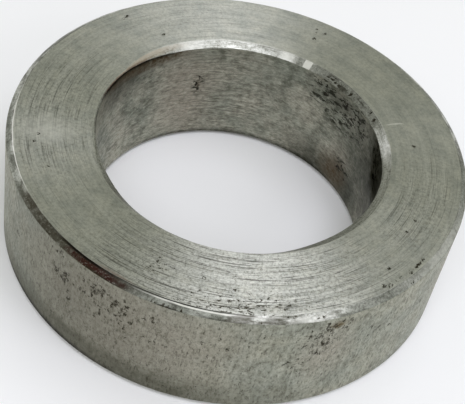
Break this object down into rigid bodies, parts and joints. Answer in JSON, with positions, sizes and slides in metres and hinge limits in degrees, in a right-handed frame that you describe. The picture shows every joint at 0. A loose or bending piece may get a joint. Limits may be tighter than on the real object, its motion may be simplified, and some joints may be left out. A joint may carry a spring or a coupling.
{
  "type": "shaft collar",
  "caption": "Plain solid steel shaft collar: a thick turned ring with a straight bore, flat faces and small chamfers on its edges.",
  "frame": {"origin": "on the bore's axis, in the plane of the lower face, which the collar lies on", "axes": "+Z along the bore's axis, from the lower face to the upper face; the ring is round, so X and Y are any two directions square to it"},
  "size_m": [0.056, 0.056, 0.016],
  "materials": {
    "turned_steel": "bare turned steel, lightly oxidised, with fine facing marks on the faces and small pits and rust-brown specks on the outer wall"
  },
  "bodies": {
    "root": {"collar_ring": "turned_steel"}
  },
  "joints": []
}
